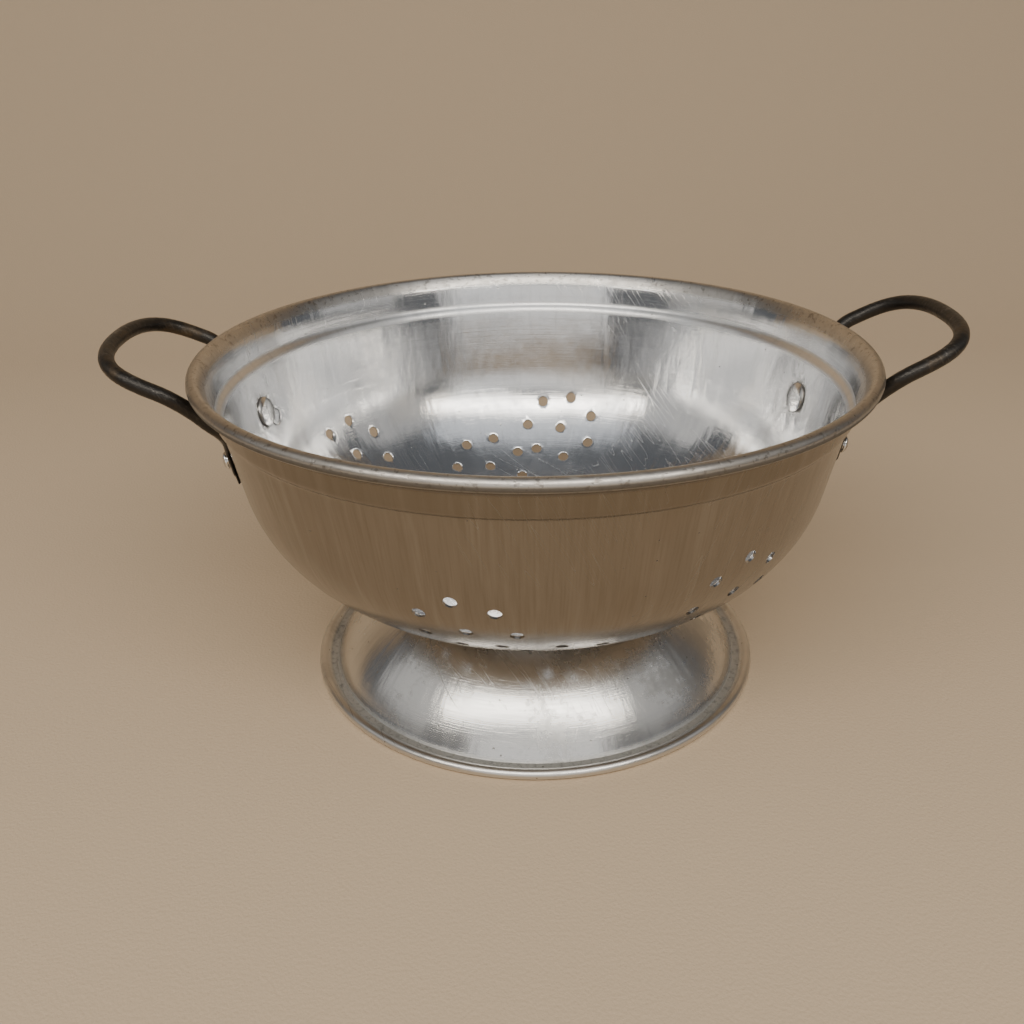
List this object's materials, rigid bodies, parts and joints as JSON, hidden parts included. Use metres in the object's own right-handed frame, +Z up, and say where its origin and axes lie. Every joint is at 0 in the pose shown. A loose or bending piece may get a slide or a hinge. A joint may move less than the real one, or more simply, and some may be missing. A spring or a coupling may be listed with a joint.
{
  "type": "colander",
  "caption": "Footed metal colander: a spun bowl punched with rosettes of drain holes, on a domed ring foot, with a riveted wire loop handle at each side.",
  "frame": {"origin": "on the surface it stands on, under the middle of the bowl", "axes": "+Z up along the bowl's axis, +X through the middle of the right handle, +Y away from the front"},
  "size_m": [0.299, 0.24, 0.1361],
  "materials": {
    "bowl_aluminium": "polished, worn and stained",
    "foot_aluminium": "satin, scratched",
    "rivet_aluminium": "peened, rubbed bright",
    "dark_steel": "blackened by age, worn on the outside of the bends"
  },
  "bodies": {
    "root": {"bowl": "bowl_aluminium", "foot": "foot_aluminium", "foot_rivet_1": "rivet_aluminium", "foot_rivet_2": "rivet_aluminium", "foot_rivet_3": "rivet_aluminium", "left_handle": "dark_steel", "left_handle_front_rivet": "rivet_aluminium", "left_handle_rear_rivet": "rivet_aluminium", "right_handle": "dark_steel", "right_handle_front_rivet": "rivet_aluminium", "right_handle_rear_rivet": "rivet_aluminium"}
  },
  "joints": []
}
